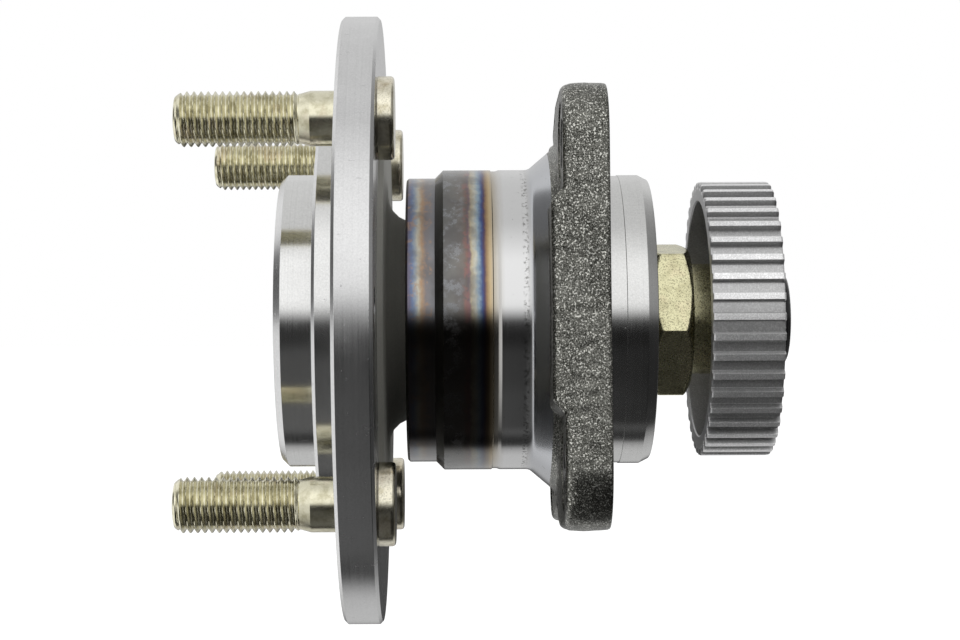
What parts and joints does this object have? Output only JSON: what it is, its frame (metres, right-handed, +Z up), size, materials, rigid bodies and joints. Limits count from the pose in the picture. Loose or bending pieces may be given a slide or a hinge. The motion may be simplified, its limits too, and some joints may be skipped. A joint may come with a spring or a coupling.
{
  "type": "wheel hub bearing",
  "caption": "Rear wheel hub bearing unit: flanged hub with wheel studs turning in a bearing ring with a cast mounting flange, spindle nut and toothed speed sensor ring.",
  "frame": {"origin": "on the spin axis, in the plane of the mounting flange's inboard face", "axes": "+X along the spin axis, inboard towards the toothed ring; the wheel studs point to -X; +Z up"},
  "size_m": [0.134, 0.137, 0.137],
  "materials": {
    "ring_steel": "turned and ground barrel with heat tint, rough cast flange",
    "hub_steel": "satin turned steel, ground pilots",
    "yellow_zinc": "yellow passivated zinc plating",
    "tone_steel": "satin silver grey",
    "bearing_steel": "polished bearing steel",
    "seal_steel": "pressed sheet steel",
    "seal_rubber": "black seal rubber",
    "cap_plastic": "black plastic",
    "cage_plastic": "glass filled nylon"
  },
  "bodies": {
    "outer_ring": {"outer_ring": "ring_steel", "outboard_seal_case": "seal_steel", "outboard_seal_lip": "seal_rubber", "inboard_seal_case": "seal_steel", "inboard_seal_lip": "seal_rubber"},
    "hub": {"hub": "hub_steel", "wheel_stud_1": "yellow_zinc", "wheel_stud_2": "yellow_zinc", "wheel_stud_3": "yellow_zinc", "wheel_stud_4": "yellow_zinc", "inner_ring": "bearing_steel", "inboard_slinger": "seal_steel", "spindle_nut": "yellow_zinc", "tone_ring": "tone_steel", "end_cap": "cap_plastic"},
    "outboard_row": {"outboard_cage": "cage_plastic", "outboard_ball_01": "bearing_steel", "outboard_ball_02": "bearing_steel", "outboard_ball_03": "bearing_steel", "outboard_ball_04": "bearing_steel", "outboard_ball_05": "bearing_steel", "outboard_ball_06": "bearing_steel", "outboard_ball_07": "bearing_steel", "outboard_ball_08": "bearing_steel", "outboard_ball_09": "bearing_steel", "outboard_ball_10": "bearing_steel", "outboard_ball_11": "bearing_steel", "outboard_ball_12": "bearing_steel"},
    "inboard_row": {"inboard_cage": "cage_plastic", "inboard_ball_01": "bearing_steel", "inboard_ball_02": "bearing_steel", "inboard_ball_03": "bearing_steel", "inboard_ball_04": "bearing_steel", "inboard_ball_05": "bearing_steel", "inboard_ball_06": "bearing_steel", "inboard_ball_07": "bearing_steel", "inboard_ball_08": "bearing_steel", "inboard_ball_09": "bearing_steel", "inboard_ball_10": "bearing_steel", "inboard_ball_11": "bearing_steel", "inboard_ball_12": "bearing_steel"}
  },
  "joints": [
    {"name": "hub_spin", "type": "hinge", "parent": "outer_ring", "child": "hub", "pos_m": [0, 0, 0], "axis": [1, 0, 0], "continuous": true},
    {"name": "outboard_row_spin", "type": "hinge", "parent": "outer_ring", "child": "outboard_row", "pos_m": [-0.0295, 0, 0], "axis": [1, 0, 0], "continuous": true},
    {"name": "inboard_row_spin", "type": "hinge", "parent": "outer_ring", "child": "inboard_row", "pos_m": [-0.0035, 0, 0], "axis": [1, 0, 0], "continuous": true}
  ],
  "couplings": [
    {"joint": "outboard_row_spin", "follows": "hub_spin", "ratio": 0.4131},
    {"joint": "inboard_row_spin", "follows": "hub_spin", "ratio": 0.4131}
  ]
}
